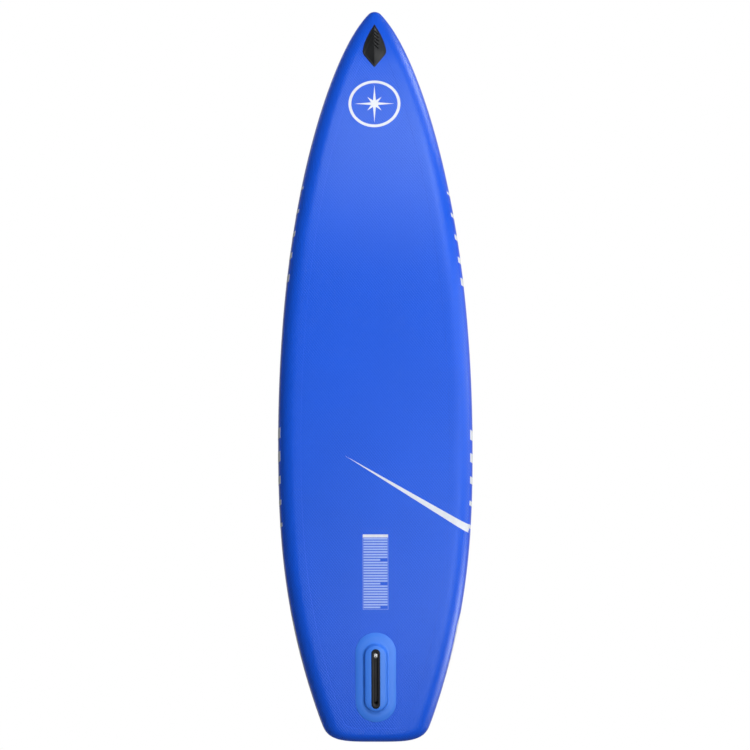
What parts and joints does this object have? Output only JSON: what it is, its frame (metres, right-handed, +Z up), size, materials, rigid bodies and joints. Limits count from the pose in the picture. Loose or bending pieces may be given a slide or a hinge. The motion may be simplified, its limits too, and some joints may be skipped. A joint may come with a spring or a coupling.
{
  "type": "stand up paddleboard",
  "caption": "Inflatable touring stand up paddleboard, seen whole: drop-stitch shell with taped rails, nose guard, fin box, deck pads, handles, rings, bungee and valve.",
  "frame": {"origin": "on the hull's lower face, in the middle of its flat stretch, on the board's centreline", "axes": "+X towards the nose, +Y to port, +Z up out of the deck"},
  "size_m": [3.1578, 0.8236, 0.3738],
  "materials": {
    "hull_pvc": "blue coated fabric with a fine embossed diamond texture",
    "deck_pvc": "pale grey coated fabric with a fine embossed texture",
    "rail_pvc": "smooth blue coated fabric",
    "seam_pvc": "smooth blue seam tape",
    "drop_stitch": "undyed woven polyester and thread",
    "black_rubber": "moulded black rubber, matte",
    "fin_patch_pvc": "moulded lighter blue patch, satin",
    "black_plastic": "moulded black nylon, satin",
    "stainless": "polished, bent or machined",
    "eva_foam": "closed-cell foam with grooves, matte",
    "webbing": "woven webbing",
    "neoprene": "knit-faced neoprene",
    "bungee_cover": "braided cover",
    "anchor_pvc": "bonded patches with sewn webbing loops",
    "valve_plastic": "moulded, satin"
  },
  "bodies": {
    "board": {"bungee_anchor_front_port": "anchor_pvc", "bungee_anchor_front_starboard": "anchor_pvc", "bungee_anchor_rear_port": "anchor_pvc", "bungee_anchor_rear_starboard": "anchor_pvc", "bungee_cord": "bungee_cover", "carry_anchor_a": "anchor_pvc", "carry_anchor_b": "anchor_pvc", "deck_pad": "eva_foam", "deck_panel": "deck_pvc", "deck_seam_tape_port": "deck_pvc", "deck_seam_tape_starboard": "deck_pvc", "drop_stitch_core": "drop_stitch", "fin_box": "black_plastic", "fin_patch": "fin_patch_pvc", "hull_panel": "hull_pvc", "hull_seam_tape_port": "seam_pvc", "hull_seam_tape_starboard": "seam_pvc", "kick_pad": "eva_foam", "leash_anchor": "anchor_pvc", "nose_anchor_a": "anchor_pvc", "nose_anchor_b": "anchor_pvc", "nose_guard": "black_rubber", "rail_tape_port": "rail_pvc", "rail_tape_starboard": "rail_pvc", "seat_front_port_anchor": "anchor_pvc", "seat_front_starboard_anchor": "anchor_pvc", "seat_rear_port_anchor": "anchor_pvc", "seat_rear_starboard_anchor": "anchor_pvc", "side_wall_port": "rail_pvc", "side_wall_starboard": "rail_pvc", "tail_anchor_a": "anchor_pvc", "tail_anchor_b": "anchor_pvc", "tow_anchor": "anchor_pvc", "valve_body": "valve_plastic", "valve_gasket": "black_rubber", "valve_nut": "valve_plastic", "valve_spring": "stainless"},
    "fin_plate": {"fin_plate": "stainless"},
    "fin_screw": {"fin_screw": "stainless"},
    "carry_handle": {"carry_grip": "neoprene", "carry_strap": "webbing"},
    "nose_handle": {"nose_strap": "webbing"},
    "tail_handle": {"tail_strap": "webbing"},
    "valve_tether": {"valve_tether": "black_rubber"},
    "valve_cap": {"valve_cap": "valve_plastic", "valve_cap_seal": "black_rubber"},
    "valve_stem": {"valve_stem": "valve_plastic"},
    "valve_button": {"valve_button": "black_rubber"},
    "leash_ring": {"leash_ring": "stainless"},
    "seat_front_port_ring": {"seat_front_port_ring": "stainless"},
    "seat_front_starboard_ring": {"seat_front_starboard_ring": "stainless"},
    "seat_rear_port_ring": {"seat_rear_port_ring": "stainless"},
    "seat_rear_starboard_ring": {"seat_rear_starboard_ring": "stainless"},
    "tow_ring": {"tow_ring": "stainless"}
  },
  "joints": [
    {"name": "fin_plate_slide", "type": "slide", "parent": "board", "child": "fin_plate", "axis": [-0.9972, 0, 0.0749], "range_m": [0, 0.18]},
    {"name": "fin_screw_turn", "type": "hinge", "parent": "fin_plate", "child": "fin_screw", "pos_m": [-1.19698, 0, 0.00376], "axis": [-0.0749, 0, -0.9972], "continuous": true},
    {"name": "carry_handle_flop", "type": "hinge", "parent": "board", "child": "carry_handle", "pos_m": [-0.05, 0, 0.1572], "axis": [1, 0, 0], "range_deg": [-65, 65]},
    {"name": "nose_handle_flop", "type": "hinge", "parent": "board", "child": "nose_handle", "pos_m": [1.34281, 0, 0.31945], "axis": [0.9594, 0, 0.2821], "range_deg": [-60, 60]},
    {"name": "tail_handle_flop", "type": "hinge", "parent": "board", "child": "tail_handle", "pos_m": [-1.44658, 0, 0.19153], "axis": [0, 1, 0], "range_deg": [-60, 60]},
    {"name": "leash_ring_swing", "type": "hinge", "parent": "board", "child": "leash_ring", "pos_m": [-1.35852, 0, 0.1834], "axis": [0, 1, 0], "range_deg": [0, 165]},
    {"name": "seat_front_port_ring_swing", "type": "hinge", "parent": "board", "child": "seat_front_port_ring", "pos_m": [0.52198, 0.2, 0.16296], "axis": [0, -1, 0], "range_deg": [0, 165]},
    {"name": "seat_front_starboard_ring_swing", "type": "hinge", "parent": "board", "child": "seat_front_starboard_ring", "pos_m": [0.52198, -0.2, 0.16296], "axis": [0, -1, 0], "range_deg": [0, 165]},
    {"name": "seat_rear_port_ring_swing", "type": "hinge", "parent": "board", "child": "seat_rear_port_ring", "pos_m": [-0.48, 0.272, 0.1572], "axis": [0, 1, 0], "range_deg": [0, 165]},
    {"name": "seat_rear_starboard_ring_swing", "type": "hinge", "parent": "board", "child": "seat_rear_starboard_ring", "pos_m": [-0.48, -0.272, 0.1572], "axis": [0, 1, 0], "range_deg": [0, 165]},
    {"name": "tow_ring_swing", "type": "hinge", "parent": "board", "child": "tow_ring", "pos_m": [1.17137, 0, 0.26718], "axis": [0, -1, 0], "range_deg": [0, 165]},
    {"name": "valve_tether_flip", "type": "hinge", "parent": "board", "child": "valve_tether", "pos_m": [-1.35368, 0.118, 0.18331], "axis": [0, -1, 0], "range_deg": [0, 150]},
    {"name": "valve_cap_turn", "type": "hinge", "parent": "valve_tether", "child": "valve_cap", "pos_m": [-1.32278, 0.118, 0.17459], "axis": [0.0807, 0, 0.9967], "range_deg": [0, 90]},
    {"name": "valve_stem_press", "type": "slide", "parent": "board", "child": "valve_stem", "axis": [-0.0807, 0, -0.9967], "range_m": [0, 0.006], "stiffness_N_per_m": 300, "springref_m": -0.002, "deforming": ["valve_spring"]},
    {"name": "valve_button_turn", "type": "hinge", "parent": "valve_stem", "child": "valve_button", "pos_m": [-1.32278, 0.118, 0.17459], "axis": [0.0807, 0, 0.9967], "range_deg": [0, 90]}
  ]
}
